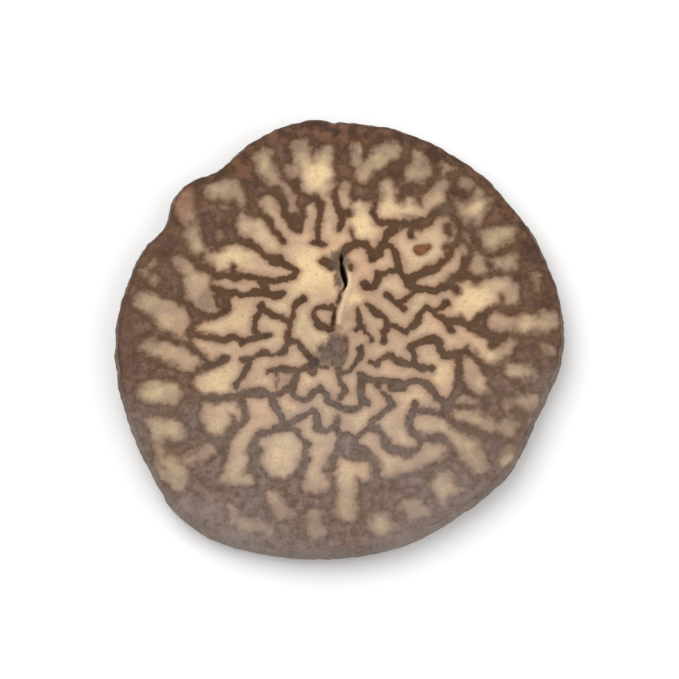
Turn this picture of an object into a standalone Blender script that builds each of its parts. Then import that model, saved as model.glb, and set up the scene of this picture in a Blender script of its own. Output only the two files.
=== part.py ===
"""A slice of dried betel nut, the seed of the areca palm, cut across and lying on its flat cut face.

Metres, +Z up. The origin is under the middle of the slice, on the surface that it rests on. +X is the
photograph's right and +Y points away from the viewer.

The slice is one solid. Its outline is a circle with a few named swells and flats. The side is the nut's own
bulging skin, the upper cut face carries low furrows between the pale lobes that reach the skin, and a crack
and a small hollow lie near the middle.
"""

import math

import bmesh
import bpy
from mathutils import Vector, geometry, noise

MM = 0.001

# Driving sizes.
PLAIN_RADIUS = 14.03 * MM  # of the cut face, where nothing swells or flattens it
THICKNESS = 2.4 * MM
WEDGE = 0.16 * MM  # how much thicker the slice is at its swollen side than in the middle
WEDGE_ANGLE = 232.0  # degrees, the direction of the thick side

# Where the outline leaves the circle: (direction in degrees, height in millimetres, width in degrees).
SWELLS = (
    (234, 1.31, 20),  # the swollen side
    (263, 0.20, 12),  # its slope towards the viewer
    (79, 0.31, 23),  # the far side, a little fuller than a circle
    (100, 0.39, 9),  # a small rise at the far edge
    (141, 0.33, 35),  # the upper left, which two dents and a flat cut back
    (125, -0.83, 9),  # the dent before the knob
    (146, -0.75, 7),  # the dent after the knob
    (159, -0.65, 19),  # the flat after that dent
    (49, -0.19, 33),  # the slack stretch at the upper right
    (21, -0.07, 11),  # its lower end
    (338, -0.56, 13),  # the flat at the right
    (322, -0.28, 20),  # the stretch that leads to it
    (303, -0.28, 11),  # the flat towards the viewer's right
)

# The pale lobes that reach the skin. Their spacing round the rim wanders: (waves round the rim, share of a
# lobe, degrees).
LOBES = 34
LOBE_SHIFT = -0.78
LOBE_DRIFTS = (
    (1, 0.72, 69),
    (2, 0.20, -154),
    (3, 0.12, -20),
    (4, 0.18, 144),
    (5, 0.13, 178),
)

# The cut face.
POINT_SPACING = 0.52 * MM  # of the points that carry its relief
BASE_SPACING = 2.2 * MM  # of the points on the flat base
LATTICE_REACH = 1.15  # how far those points are laid out, in plain radii, before the edge trims them
EDGE_CLEARANCE = 0.75  # how far they stay inside the edge, as a share of their spacing
SAME_POINT = 0.01 * MM  # points nearer than this are one
FURROW_DEPTH = 0.10 * MM
FURROW_START = 0.62  # share of the radius where the furrows begin
FURROW_FULL = 0.84  # share of the radius where they have their full depth
KNIFE_WAVE = 0.045 * MM  # height of the knife's slow waves
KNIFE_WAVELENGTH = 7.0 * MM
GRAIN_RELIEF = 0.03 * MM  # of the small unevenness
GRAIN_SIZE = 1.6 * MM
HOLLOW_CENTRE = Vector((-0.45, -1.15)) * MM  # the pit below the crack
HOLLOW_RADIUS = 1.15 * MM
HOLLOW_DEPTH = 0.42 * MM

# The side, from the cut face's edge down to the base's edge: (share of the thickness, share of the bulge).
SIDE_BULGE = 0.30 * MM
SIDE_ROWS = ((0.05, 0.30), (0.20, 0.72), (0.45, 1.0), (0.72, 0.78), (0.92, 0.25))
BASE_INSET = 0.22 * MM  # how far the base's edge lies inside the cut face's
RIM_POINTS = 170
EDGE_CHIPS = 0.07 * MM  # of the small chips along the edges
CHIP_SIZE = 1.1 * MM

# The crack's middle line, away from the viewer first: (x, y, width) in millimetres.
CRACK = (
    (0.10, 5.55, 0.06),
    (0.12, 4.85, 0.26),
    (0.20, 4.40, 0.42),
    (0.30, 3.90, 0.38),
    (0.36, 3.40, 0.22),
    (0.18, 2.90, 0.14),
    (-0.20, 2.10, 0.12),
    (-0.42, 1.10, 0.14),
    (-0.42, 0.50, 0.06),
)
CRACK_DEPTH = 1.75 * MM
CRACK_FOOT = 0.35  # width at the crack's foot, as a share of that at its top
CRACK_OVERCUT = 0.6 * MM  # how far the cutter stands out above the face

NUT_COLOUR = (0.33, 0.21, 0.135, 1.0)  # the cream flesh and the brown veins seen together
NUT_ROUGHNESS = 0.72
SHARP_ANGLE = 35.0  # degrees; edges that turn more than this stay sharp


def clear_scene():
    """Removes the objects of the startup scene."""
    for thing in list(bpy.data.objects):
        bpy.data.objects.remove(thing, do_unlink=True)


def bell(angle, centre, width):
    """1 in the direction centre, falling off to nothing over about two widths. Degrees."""
    away = (angle - centre + 180.0) % 360.0 - 180.0
    return math.exp(-((away / width) ** 2))


def ramp(start, end, value):
    """0 up to start and 1 from end on, with a smooth rise between."""
    share = min(max((value - start) / (end - start), 0.0), 1.0)
    return share * share * (3.0 - 2.0 * share)


def face_radius(angle):
    """Radius of the cut face's edge in a direction, in degrees."""
    return PLAIN_RADIUS + sum(height * MM * bell(angle, centre, width) for centre, height, width in SWELLS)


def lobe_wave(angle):
    """1 at the middle of a pale lobe, -1 in the dark furrow between two of them."""
    turns = LOBES * angle / 360.0 + LOBE_SHIFT
    turns += sum(share * math.sin(math.radians(waves * angle + lead)) for waves, share, lead in LOBE_DRIFTS)
    return math.cos(2.0 * math.pi * turns)


def face_height(x, y):
    """Height of the upper cut face above the base."""
    angle = math.degrees(math.atan2(y, x)) % 360.0
    reach = math.hypot(x, y) / face_radius(angle)
    thick_side = math.radians(WEDGE_ANGLE)
    along = (x * math.cos(thick_side) + y * math.sin(thick_side)) / PLAIN_RADIUS
    furrow = 0.5 * (1.0 - lobe_wave(angle)) * ramp(FURROW_START, FURROW_FULL, reach)
    from_hollow = (Vector((x, y)) - HOLLOW_CENTRE).length / HOLLOW_RADIUS
    height = THICKNESS + WEDGE * along
    height += KNIFE_WAVE * noise.noise(Vector((x, y, 0.0)) / KNIFE_WAVELENGTH)
    height += GRAIN_RELIEF * noise.noise(Vector((x, y, 1.0)) / GRAIN_SIZE)
    height -= FURROW_DEPTH * furrow
    height -= HOLLOW_DEPTH * math.exp(-(from_hollow**2))
    return height


def rim_point(angle, outward):
    """A point this far outside the cut face's edge, with the edge's small chips. Metres, in the plane."""
    turn = math.radians(angle)
    around = Vector((math.cos(turn), math.sin(turn), outward / PLAIN_RADIUS)) * PLAIN_RADIUS
    radius = face_radius(angle) + outward + EDGE_CHIPS * noise.noise(around / CHIP_SIZE)
    return Vector((radius * math.cos(turn), radius * math.sin(turn)))


def lattice_inside(spacing):
    """Points of a triangular lattice over the slice, clear of its edge."""
    reach = PLAIN_RADIUS * LATTICE_REACH
    row_step = spacing * math.sqrt(3.0) / 2.0
    rows = int(reach / row_step)
    columns = int(reach / spacing)
    points = []
    for row in range(-rows, rows + 1):
        for column in range(-columns, columns + 1):
            x = (column + 0.5 * (row % 2)) * spacing
            y = row * row_step
            angle = math.degrees(math.atan2(y, x)) % 360.0
            if math.hypot(x, y) < face_radius(angle) - BASE_INSET - EDGE_CLEARANCE * spacing:
                points.append(Vector((x, y)))
    return points


def flat_triangles(edge, spacing):
    """Fills an outline with triangles: their points, the triangles, and where each edge point went."""
    count = len(edge)
    loop = [(i, (i + 1) % count) for i in range(count)]
    inside_the_loop = 1
    points, _, triangles, came_from, _, _ = geometry.delaunay_2d_cdt(
        edge + lattice_inside(spacing), loop, [], inside_the_loop, SAME_POINT
    )
    place = {first: i for i, sources in enumerate(came_from) for first in sources[:1]}
    return points, triangles, [place[i] for i in range(count)]


def cut_face(bm, angles):
    """The upper cut face with its relief. Gives the vertices along its edge, in order."""
    edge = [rim_point(angle, 0.0) for angle in angles]
    points, triangles, edge_places = flat_triangles(edge, POINT_SPACING)
    verts = [bm.verts.new((p.x, p.y, face_height(p.x, p.y))) for p in points]
    for triangle in triangles:
        bm.faces.new([verts[i] for i in triangle])
    return [verts[i] for i in edge_places]


def side_row(bm, angles, top_edge, down, bulge):
    """One ring of the side, this share of the thickness down and with this share of SIDE_BULGE."""
    inset = BASE_INSET * down
    ring = []
    for angle, above in zip(angles, top_edge):
        place = rim_point(angle, SIDE_BULGE * bulge - inset)
        ring.append(bm.verts.new((place.x, place.y, above.co.z * (1.0 - down))))
    return ring


def band(bm, upper, lower):
    """Quads between two rings of as many vertices, facing out."""
    count = len(upper)
    for i in range(count):
        j = (i + 1) % count
        bm.faces.new((upper[i], lower[i], lower[j], upper[j]))


def close_base(bm, ring):
    """The flat face that the slice rests on."""
    edge = [v.co.xy for v in ring]
    points, triangles, edge_places = flat_triangles(edge, BASE_SPACING)
    on_the_edge = dict(zip(edge_places, ring))
    verts = [on_the_edge.get(i) or bm.verts.new((p.x, p.y, 0.0)) for i, p in enumerate(points)]
    for triangle in triangles:
        bm.faces.new([verts[i] for i in triangle][::-1])


def centre_over_origin(bm):
    """Moves the slice so that its outer sizes are centred on the origin. Gives the shift."""
    lows = [min(v.co[axis] for v in bm.verts) for axis in range(2)]
    highs = [max(v.co[axis] for v in bm.verts) for axis in range(2)]
    shift = Vector((-(lows[0] + highs[0]) / 2.0, -(lows[1] + highs[1]) / 2.0, 0.0))
    bmesh.ops.translate(bm, verts=bm.verts, vec=shift)
    return shift


def build_slice():
    """The slice without its crack, and how far it was moved to stand over the origin."""
    bm = bmesh.new()
    angles = [360.0 * i / RIM_POINTS for i in range(RIM_POINTS)]
    top_edge = cut_face(bm, angles)
    above = top_edge
    for down, bulge in SIDE_ROWS:
        below = side_row(bm, angles, top_edge, down, bulge)
        band(bm, above, below)
        above = below
    foot = side_row(bm, angles, top_edge, 1.0, 0.0)
    band(bm, above, foot)
    close_base(bm, foot)
    shift = centre_over_origin(bm)
    bmesh.ops.recalc_face_normals(bm, faces=bm.faces)
    mesh = bpy.data.meshes.new("betel_nut_slice")
    bm.to_mesh(mesh)
    bm.free()
    piece = bpy.data.objects.new("betel_nut_slice", mesh)
    bpy.context.scene.collection.objects.link(piece)
    return piece, shift


def crack_ring(bm, height, width_share):
    """The crack's outline at one height: down its right side and back up its left."""
    right = []
    left = []
    for i, (x, y, width) in enumerate(CRACK):
        before = Vector(CRACK[max(i - 1, 0)][:2])
        after = Vector(CRACK[min(i + 1, len(CRACK) - 1)][:2])
        along = (after - before).normalized()
        across = Vector((-along.y, along.x)) * (0.5 * width * width_share)
        right.append((Vector((x, y)) + across) * MM)
        left.append((Vector((x, y)) - across) * MM)
    return [bm.verts.new((p.x, p.y, height)) for p in right + left[::-1]]


def build_crack_cutter(shift):
    """The wedge of air that the crack is, narrower at its foot. It only cuts, and isn't part of the slice."""
    bm = bmesh.new()
    foot = crack_ring(bm, THICKNESS - CRACK_DEPTH, CRACK_FOOT)
    mouth = crack_ring(bm, THICKNESS + CRACK_OVERCUT, 1.0 + CRACK_OVERCUT / CRACK_DEPTH * (1.0 - CRACK_FOOT))
    band(bm, mouth, foot)
    bm.faces.new(foot)
    bm.faces.new(mouth)
    bmesh.ops.translate(bm, verts=bm.verts, vec=shift)
    bmesh.ops.recalc_face_normals(bm, faces=bm.faces)
    mesh = bpy.data.meshes.new("crack_cutter")
    bm.to_mesh(mesh)
    bm.free()
    cutter = bpy.data.objects.new("crack_cutter", mesh)
    bpy.context.scene.collection.objects.link(cutter)
    cutter.hide_render = True
    cutter.display_type = "WIRE"
    return cutter


def cut_crack(piece, cutter):
    """Takes the crack out of the slice."""
    cut = piece.modifiers.new("crack", "BOOLEAN")
    cut.operation = "DIFFERENCE"
    cut.solver = "EXACT"
    cut.object = cutter


def nut_material():
    """The slice's mean colour, of brown veins and cream flesh seen together, dry and dull."""
    material = bpy.data.materials.new("dried_betel_nut")
    material.use_nodes = True
    shader = material.node_tree.nodes["Principled BSDF"]
    shader.inputs["Base Color"].default_value = NUT_COLOUR
    shader.inputs["Roughness"].default_value = NUT_ROUGHNESS
    shader.inputs["Metallic"].default_value = 0.0
    return material


def main():
    clear_scene()
    piece, shift = build_slice()
    cut_crack(piece, build_crack_cutter(shift))
    piece.data.materials.append(nut_material())
    piece.data.shade_smooth()
    piece.data.set_sharp_from_angle(angle=math.radians(SHARP_ANGLE))


main()
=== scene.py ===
import math

import bpy
import numpy as np
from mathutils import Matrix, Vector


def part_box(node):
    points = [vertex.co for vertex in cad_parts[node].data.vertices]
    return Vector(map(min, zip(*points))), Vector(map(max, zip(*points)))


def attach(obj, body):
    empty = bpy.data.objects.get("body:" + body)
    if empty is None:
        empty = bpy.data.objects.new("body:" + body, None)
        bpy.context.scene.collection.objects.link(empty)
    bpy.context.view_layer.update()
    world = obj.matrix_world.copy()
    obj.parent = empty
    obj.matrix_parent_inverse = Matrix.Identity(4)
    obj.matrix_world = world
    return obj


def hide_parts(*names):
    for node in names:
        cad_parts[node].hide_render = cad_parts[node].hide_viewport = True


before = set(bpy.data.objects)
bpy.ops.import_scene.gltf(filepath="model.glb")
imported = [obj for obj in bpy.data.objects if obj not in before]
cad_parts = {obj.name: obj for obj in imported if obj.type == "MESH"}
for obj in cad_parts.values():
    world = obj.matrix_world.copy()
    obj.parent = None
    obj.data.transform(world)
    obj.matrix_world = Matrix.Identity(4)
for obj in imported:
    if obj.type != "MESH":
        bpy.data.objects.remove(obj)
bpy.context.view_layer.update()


# The outline. The slice is cut straight across one dried nut, so its edge is the nut's own girth: a circle
# that a few swells and flats push out of round. All lengths are in millimetres until the mesh is made.
PLAIN_RADIUS = 14.03
SWELLS = (  # direction in degrees, height, width in degrees
    (234, 1.31, 20), (263, 0.2, 12), (79, 0.31, 23), (100, 0.39, 9), (141, 0.33, 35),
    (125, -0.83, 9), (146, -0.75, 7), (159, -0.65, 19), (49, -0.19, 33), (21, -0.07, 11),
    (338, -0.56, 13), (322, -0.28, 20), (303, -0.28, 11),
)


def with_swells(plain, angle, swells):
    """The plain size plus height * exp(-(away / width)^2) for each swell."""
    size = plain + np.zeros(np.shape(angle))
    for centre, height, width in swells:
        away = (angle - centre + 180.0) % 360.0 - 180.0
        size += height * np.exp(-((away / width) ** 2))
    return size


def edge_radius(angle):
    """Radius of the cut face's edge, with its swells."""
    return with_swells(PLAIN_RADIUS, angle, SWELLS)


# The folds. While the nut grows, its brown skin folds deep into the cream flesh, and a cut shows those folds
# as brown veins that wander through the flesh, thin near the middle and broad near the skin, where they
# leave only lobes of flesh. Read off this slice: a width, then the points that it runs through.
FLESH_LOBES = (
    (0.5, (-2.7, 6.2), (-3.35, 7), (-3.9, 7.9)),
    (0.65, (-4.25, 8.3), (-4.45, 8.8)),
    (1, (-3.2, 5.5), (-4.7, 6.8), (-6.2, 7.5)),
    (0.6, (-1.9, 6), (-1.8, 8.2)),
    (1.3, (-8.3, 4.9), (-6.8, 5.3), (-5.6, 5.1)),
    (0.8, (-4.9, 12), (-4.75, 11.1)),
    (0.55, (-4.75, 11.1), (-4.1, 10.4), (-3.6, 9.9)),
    (0.2, (-3.6, 9.9), (-3.15, 9.3), (-2.98, 8.4)),
    (0.35, (-10.1, 4.8), (-9.3, 4.1)),
    (1.1, (-9, 3.6), (-9, 2.6)),
    (0.8, (-8.8, 2.6), (-7.8, 1.9)),
    (0.45, (-7.6, 3.3), (-5.3, 3.4)),
    (1, (-5.7, 2.2), (-6.5, 1.4), (-7.2, 0.6), (-8.9, 0.3)),
    (0.8, (-12.3, 2.2), (-11.2, 1.8)),
    (1.4, (-11, 1.5), (-10.2, 0.6)),
    (2, (-1.6, 11.4), (-1.55, 10.9)),
    (1.4, (-1.65, 10.2), (-1.5, 10)),
    (0.6, (-0.9, 12.2), (-0.9, 11.5)),
    (0.3, (-3.3, 10.9), (-2.6, 10.9)),
    (0.9, (-1.2, 10.2), (-0.8, 8.6), (-0.6, 7.2)),
    (0.45, (-2.55, 12.8), (-2.45, 11.8)),
    (1.1, (1.3, 8.4), (1.4, 7.2), (2.1, 6.3)),
    (0.4, (0.3, 9.8), (0.25, 8.9)),
    (0.15, (1.1, 12.5), (1.15, 11.6)),
    (0.6, (1.5, 10.75), (1.9, 11.4)),
    (0.9, (2.3, 11.7), (3.2, 12.35)),
    (1.1, (2.9, 10.2), (3, 8.5), (5.2, 8.35)),
    (0.7, (5.2, 8.4), (6.1, 9.3)),
    (0.4, (6.1, 9.3), (6.6, 10.4), (6.8, 11.4)),
    (0.3, (4.95, 12), (4.95, 11.2)),
    (0.75, (4.8, 10.9), (5.25, 10.7)),
    (0.8, (7.5, 8.4), (8.4, 7.9)),
    (0.8, (8.4, 8), (9, 9.2), (9.1, 9.8)),
    (1.3, (4.5, 5.9), (5.6, 6.2), (5.6, 5.5), (4.8, 5)),
    (0.4, (6, 6.1), (7.1, 6.7)),
    (0.9, (5.9, 6.6), (6.8, 7.4)),
    (0.5, (7.7, 6.3), (6.9, 4.5), (4.9, 3.4)),
    (1.8, (7.8, 1.9), (9, 2.7), (10.2, 2.8)),
    (0.8, (8.5, 4.7), (10.7, 5)),
    (1, (9.3, 6.3), (10.5, 6.6)),
    (0.75, (9.9, 0.75), (11.2, 0.8)),
    (0.95, (11.2, 0.8), (13.2, 0.95)),
    (0.05, (12.35, 4), (12.45, 3)),
    (0.2, (12.8, -0.95), (13.3, -1)),
    (0.8, (4.9, 0.1), (5.8, 0.6), (7.1, -0.5), (8.4, -0.4), (9.5, -1.4), (10.5, -0.7)),
    (1, (-11.8, -0.8), (-9.3, -1.7)),
    (1.2, (-11.8, -3.9), (-10.8, -3.9)),
    (1.1, (-11.9, -6.3), (-10.4, -6.4)),
    (1.6, (-10.65, -9), (-10.4, -9.3)),
    (0.1, (-11.25, -7), (-11.15, -8.1)),
    (0.35, (-9.5, -8.35), (-8.8, -8.05), (-8, -7.65)),
    (1.3, (-7.8, -5.2), (-7.7, -5.8)),
    (0.4, (-7.4, -4.9), (-6.5, -4.85)),
    (1.3, (-8.6, -3.6), (-7.5, -3), (-6.7, -1.6)),
    (0.7, (-9.3, -0.2), (-7.8, -0.9), (-5.2, -0.9), (-3.8, -0.5), (-3.9, 0.5)),
    (0.9, (-5.1, -4.6), (-4.9, -5.7), (-6.2, -7.1), (-6.6, -9.4)),
    (0.25, (-7.2, -9.6), (-5.75, -9.65)),
    (1.7, (-3.65, -7.7), (-3.75, -8.5)),
    (0.9, (-2.3, -6), (-1.3, -7.2), (-1.6, -9.8)),
    (0.35, (-1.9, -10.05), (-1.05, -9.85)),
    (0.9, (-0.2, -8.8), (1.6, -9.1)),
    (0.9, (0.5, -9.2), (0.4, -11.7)),
    (0.5, (-4.1, -10.8), (-3.4, -11.8)),
    (0.8, (-5.8, -12.6), (-4.7, -13.1)),
    (0.1, (-6.7, -11.5), (-6.4, -12.4)),
    (1, (2.4, -12.3), (2.8, -13.2)),
    (0.8, (4.4, -11.3), (4.9, -11.9)),
    (1.2, (6.4, -9.8), (7.1, -10.8)),
    (0.9, (8.5, -8.6), (8, -7.3), (6.6, -6.2), (5, -5.6)),
    (0.5, (7.6, -5.15), (9.3, -6.05), (11, -6.2)),
    (0.5, (10.8, -2.45), (11.7, -2.5)),
    (0.8, (7.5, -1.8), (8.8, -3.3)),
    (0.12, (7.6, -4.4), (8.5, -4.4)),
    (0.9, (5.4, -4.1), (4.3, -4.3), (3.6, -5.9), (4.3, -7.1)),
    (0.9, (2.2, -7.1), (3.1, -8.8), (6, -7.7)),
    (0.65, (-9.3, 7), (-9.15, 6)),
    (1.5, (-7.6, 9.8), (-6.9, 9.4)),
    (0.8, (-7, 9.5), (-6.1, 9)),
    (0.6, (-10, 9.1), (-9.8, 8)),
    (0.3, (7.9, 10.3), (8, 10)),
    (0.45, (11.05, -4.45), (12.3, -4.4)),
    (0.15, (10.45, -4.5), (10.7, -5.3)),
    (0.1, (12.2, -4.9), (12.05, -5.6), (11.75, -6.3)),
    (0.9, (10.5, -8.3), (10.9, -8)),
    (0.1, (-12.35, 4.3), (-12.25, 4.1)),
    (0.1, (-11.75, 4.9), (-11.8, 4.6)),
    (0.12, (-11.75, 3.8), (-11.7, 3.6)),
    (0.03, (-7.6, 6.65), (-7.5, 6.6)),
    (0.6, (-1.6, -12), (-1.5, -12.8)),
)
BROWN_VEINS = (
    (0.36, (-4.95, 2.1), (-4.9, 1.8), (-4.4, 1.4), (-3.9, 1.1), (-3.05, 0.95), (-2.9, 1.6),
     (-2.7, 2.1), (-2.3, 2.35)),
    (0.34, (-3.1, 0.9), (-3.15, 0.5), (-3.25, -0.05), (-3.15, -0.47), (-2.65, -0.57), (-2.3, -0.95),
     (-1.98, -1.42), (-1.6, -1.75)),
    (0.32, (-3.2, -0.5), (-3.65, -1.25), (-4.2, -1.4), (-4.9, -1.15), (-5.3, -1.4), (-5.7, -2),
     (-6, -2.7), (-6.6, -3.5)),
    (0.28, (-5.6, -1.7), (-6.1, -1.65)),
    (0.38, (-0.5, 1.75), (-0.85, 1.86), (-1.3, 1.82), (-1.58, 1.5), (-1.6, 1.1), (-1.4, 0.74), (-1, 0.48),
     (-0.6, 0.36)),
    (0.3, (-0.5, 1.95), (-0.4, 1.4), (-0.45, 0.9), (-0.42, 0.5)),
    (0.62, (-1, 4.9), (-0.65, 4.7)),
    (0.16, (0.08, 2.85), (-0.1, 2.4), (-0.2, 1.9), (-0.3, 1.5), (-0.42, 1.2)),
    (0.18, (0.38, 0), (0.52, -0.7), (0.3, -1.3)),
    (0.28, (0.64, 4.65), (0.76, 4.35)),
    (0.32, (1.05, 1.8), (1.1, 1.3), (1.37, 0.65), (1.75, 0), (1.95, -0.35)),
    (0.32, (1.37, 0.65), (1, 0.28)),
    (0.36, (1.65, 2.1), (1.95, 1.8), (2.2, 1.5), (2.7, 1.3), (3, 0.75), (3.6, 0.4), (4.1, 0.15),
     (4.5, 0.45), (4.85, 0.9), (5.1, 1.45), (5.4, 1.8), (5.9, 1.6), (6.3, 1.2), (6.7, 0.65), (7, 0.3)),
    (0.34, (3, 0.6), (2.75, 0.1), (2.75, -0.5)),
    (0.42, (1.48, 3.45), (1.7, 3.2), (2.05, 3.15), (2.35, 3.7), (2.6, 4.05)),
    (0.36, (2.95, 2.7), (3.25, 2.4), (3.6, 2.15), (4.05, 1.7)),
    (0.34, (3.7, 2.15), (4.05, 2.25), (4.4, 2.5), (4.7, 2.95)),
    (0.42, (4.3, 3.45), (4.7, 3.15), (5.3, 3), (6.1, 2.98), (6.65, 3.3), (7.1, 3.75)),
    (0.34, (7, 3.6), (7.35, 2.9)),
    (0.34, (5.85, 1.7), (6.35, 1.85), (6.75, 2.15)),
    (0.4, (6.6, 0.85), (7.1, 0.95), (7.55, 0.95), (8.1, 0.6), (8.65, 0.2), (9.5, 0.05), (10.3, -0.15)),
    (0.4, (8.5, 0.3), (8.95, 1.25), (9.4, 1.6), (10, 1.8), (10.8, 1.6), (12, 1.7)),
    (0.34, (10.1, 1.8), (10.25, 2.4)),
    (0.36, (10.2, -0.2), (9.5, -0.6)),
    (0.34, (1.35, -0.9), (1.3, -1.4), (1, -1.9), (0.7, -2.3), (0.2, -2.6), (-0.05, -2.3)),
    (0.34, (-0.1, -2.5), (0.05, -3.2), (0.4, -3.8), (0, -4.2)),
    (0.38, (4.2, -2), (3.6, -1.72), (3.3, -1.48), (2.95, -1.38), (2.6, -1.7), (2.3, -2.05), (1.95, -1.85)),
    (0.42, (1.3, -2.75), (1.65, -2.9), (2.3, -3.05), (3.1, -3.1), (4, -3.25), (4.8, -3.05), (5.4, -3.15),
     (5.68, -3.6), (5.92, -4.05)),
    (0.6, (3.3, -3.4), (4, -3.38)),
    (0.36, (5.92, -4.05), (6.5, -4.42), (7.2, -4.75), (8.2, -4.85), (9, -4.6)),
    (0.34, (2.2, -3), (2.5, -3.6), (3, -4.2), (3.35, -4.75), (2.7, -5.2), (2.05, -5.7), (1.7, -6.3),
     (1.1, -6.8), (0.3, -6.65), (-0.1, -7.2), (-0.35, -8), (-0.45, -8.7), (-0.75, -8.95)),
    (0.4, (1.35, -2.8), (1.3, -3.4), (1.25, -4.1), (1.65, -4.5)),
    (0.36, (-4.4, -2.4), (-3.7, -2.2), (-3.1, -2.4), (-2.5, -2.35), (-2, -2.15), (-1.65, -2.5)),
    (0.22, (-1.8, -2.15), (-1.2, -2.13), (-0.75, -2.22)),
    (0.36, (-1.65, -1.8), (-2, -2.2)),
    (0.38, (-2.75, -2.5), (-2.8, -3.2), (-2.95, -3.8), (-2.75, -4.25), (-2.3, -4.43), (-1.9, -4.18),
     (-1.55, -3.78), (-1.25, -3.55), (-0.95, -3.9), (-0.65, -4.45), (-0.1, -4.85), (0.6, -5.05),
     (1.15, -4.85), (1.65, -4.5)),
    (0.36, (-3.55, -6.1), (-2.9, -5.75), (-2.3, -5.3), (-1.75, -5.12), (-1.42, -5.28), (-1.48, -5.9),
     (-1.3, -6.28), (-0.8, -6.38), (-0.3, -6.15), (0.1, -6.6)),
    (0.34, (-0.3, -6.1), (-0.12, -5.5)),
    (0.38, (4.4, -0.9), (5.1, -0.45), (5.9, -0.28), (6.2, -0.4), (6.28, -0.9), (6.5, -1.38), (7, -1.45),
     (7.5, -1.15), (8, -1), (8.5, -1.5), (9, -2.2), (9.5, -2.8), (9.8, -3.6)),
    (0.34, (4.4, -0.95), (4.7, -1.5), (4.75, -2), (4.2, -2.05)),
    (0.34, (4.7, -2.1), (5.25, -2.2), (5.8, -2.3)),
    (0.38, (7.4, -1.15), (7.4, -2), (7.45, -2.8), (7.3, -3.9)),
    (0.36, (-8.3, 4.3), (-7.6, 3.95), (-6.5, 3.75), (-5.7, 3.9), (-4.9, 3.7), (-4.7, 3.1), (-4.85, 2.7)),
    (0.34, (-6.75, 4.5), (-6.7, 3.85)),
    (0.36, (-7.95, 3.05), (-7.2, 2.85), (-6.2, 2.65), (-5.4, 2.75), (-4.7, 2.7), (-4.1, 2.5)),
    (0.5, (-7.7, 2.6), (-7.5, 2.05)),
    (0.38, (-7.1, 2.8), (-7.07, 2), (-7.25, 1.5), (-7.9, 1.25), (-8.7, 1.05), (-9.2, 0.6), (-9.4, 0),
     (-9.5, -0.7), (-9, -1.2), (-8.4, -1.8), (-8, -2.05)),
    (0.4, (-10.9, 2.9), (-10.2, 2.3), (-9.4, 1.8), (-8.7, 1.2)),
    (0.36, (-9.4, 0), (-8.3, -0.2), (-7.2, -0.4), (-6.5, -0.15), (-6.1, -0.5), (-5.4, -0.35),
     (-4.9, -0.1), (-4.45, 0)),
    (0.36, (-5.15, -0.08), (-5.35, 0.4), (-5.35, 0.9), (-5.08, 1.4), (-4.95, 1.8)),
    (0.4, (-11.8, 0), (-10.9, -0.25), (-10, -0.45), (-9.5, -0.7)),
    (0.4, (-11.6, -2.2), (-10.6, -2.5), (-9.5, -2.6), (-8.6, -2.25), (-7.9, -2), (-7.5, -1.85),
     (-7.25, -1.62)),
    (0.42, (-9.3, -2.6), (-9.4, -3.4), (-9.2, -4.1), (-8.8, -4.4), (-8.2, -4.25), (-7.1, -4.25),
     (-6.2, -3.95), (-5.5, -3.85), (-4.6, -3.88), (-4.2, -4.3), (-4, -4.9), (-3.75, -5.5), (-3.5, -6.1)),
    (0.36, (-4.6, -3.88), (-3.8, -3.95), (-3.35, -3.6), (-2.9, -3.1)),
    (0.18, (-3.95, -2.4), (-3.95, -3.7)),
    (0.5, (-6, -3.9), (-4.6, -3.9)),
    (0.32, (-6.2, -4.1), (-6.1, -4.6), (-5.85, -5.3), (-6.1, -5.85), (-6.85, -6.6), (-7.1, -7.4),
     (-7.3, -8.4)),
    (0.4, (-3.5, -6.15), (-4.2, -6.3), (-4.8, -6.5), (-5.3, -6.95), (-5.5, -7.8), (-5.3, -8.8),
     (-5, -9.8)),
    (0.4, (-3.5, -6.15), (-3, -6.2), (-2.5, -6.7), (-2.05, -7.3), (-2.1, -8.2), (-2.4, -9.1)),
    (0.32, (-7.6, 8.9), (-6.7, 8.6), (-6, 8.2), (-5.4, 7.95), (-5, 7.95), (-4.7, 7.8), (-4.4, 7.4),
     (-4.1, 6.9), (-3.75, 6.4), (-3.6, 6.15)),
    (0.4, (-5.9, 10.1), (-5.6, 9.2), (-5.9, 8.3)),
    (0.34, (-5.7, 9.9), (-5.2, 9.6)),
    (0.4, (-8.9, 4.9), (-8.5, 5.5), (-7.8, 5.9), (-7, 6.2), (-6.5, 6.4), (-5.8, 6.1), (-5.2, 5.75),
     (-4.7, 5.3), (-4.15, 5.2), (-3.7, 5.15)),
    (0.36, (-6.6, 6.5), (-6.75, 7.4), (-6.5, 8.3)),
    (0.44, (-10.4, 6), (-9.8, 5.7), (-9.2, 5.1), (-8.8, 4.6), (-8.2, 4.3)),
    (0.36, (-4.3, 4.85), (-3.4, 4.65), (-2.95, 4.5), (-2.7, 4.2)),
    (0.36, (-4.9, 3.7), (-4.1, 3.55), (-3.4, 3.65), (-2.95, 3.85), (-2.7, 4.2)),
    (0.36, (-4.1, 2.5), (-3.6, 2.8)),
    (0.34, (-5.2, 9.6), (-4.8, 9.75), (-4.2, 9.7), (-3.75, 9.4), (-3.6, 8.8), (-3.55, 8.3), (-3.3, 7.8),
     (-3, 7.3), (-2.65, 6.85), (-2.4, 7.4), (-2.4, 8.4), (-2.5, 9.2)),
    (0.5, (-2.9, 7.9), (-2.65, 7)),
    (0.4, (-3.8, 11.9), (-3.75, 11.1), (-3.4, 10.5), (-3.1, 10.2), (-2.85, 10.1)),
    (0.2, (-1.7, 12.8), (-1.72, 12)),
    (0.36, (-2.45, 9.35), (-2, 9.15), (-1.6, 9.15), (-1.3, 8.9), (-1.2, 8.5), (-1.25, 8), (-1.37, 7.5),
     (-1.45, 7), (-1.45, 6.5), (-1.4, 6.1)),
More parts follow.
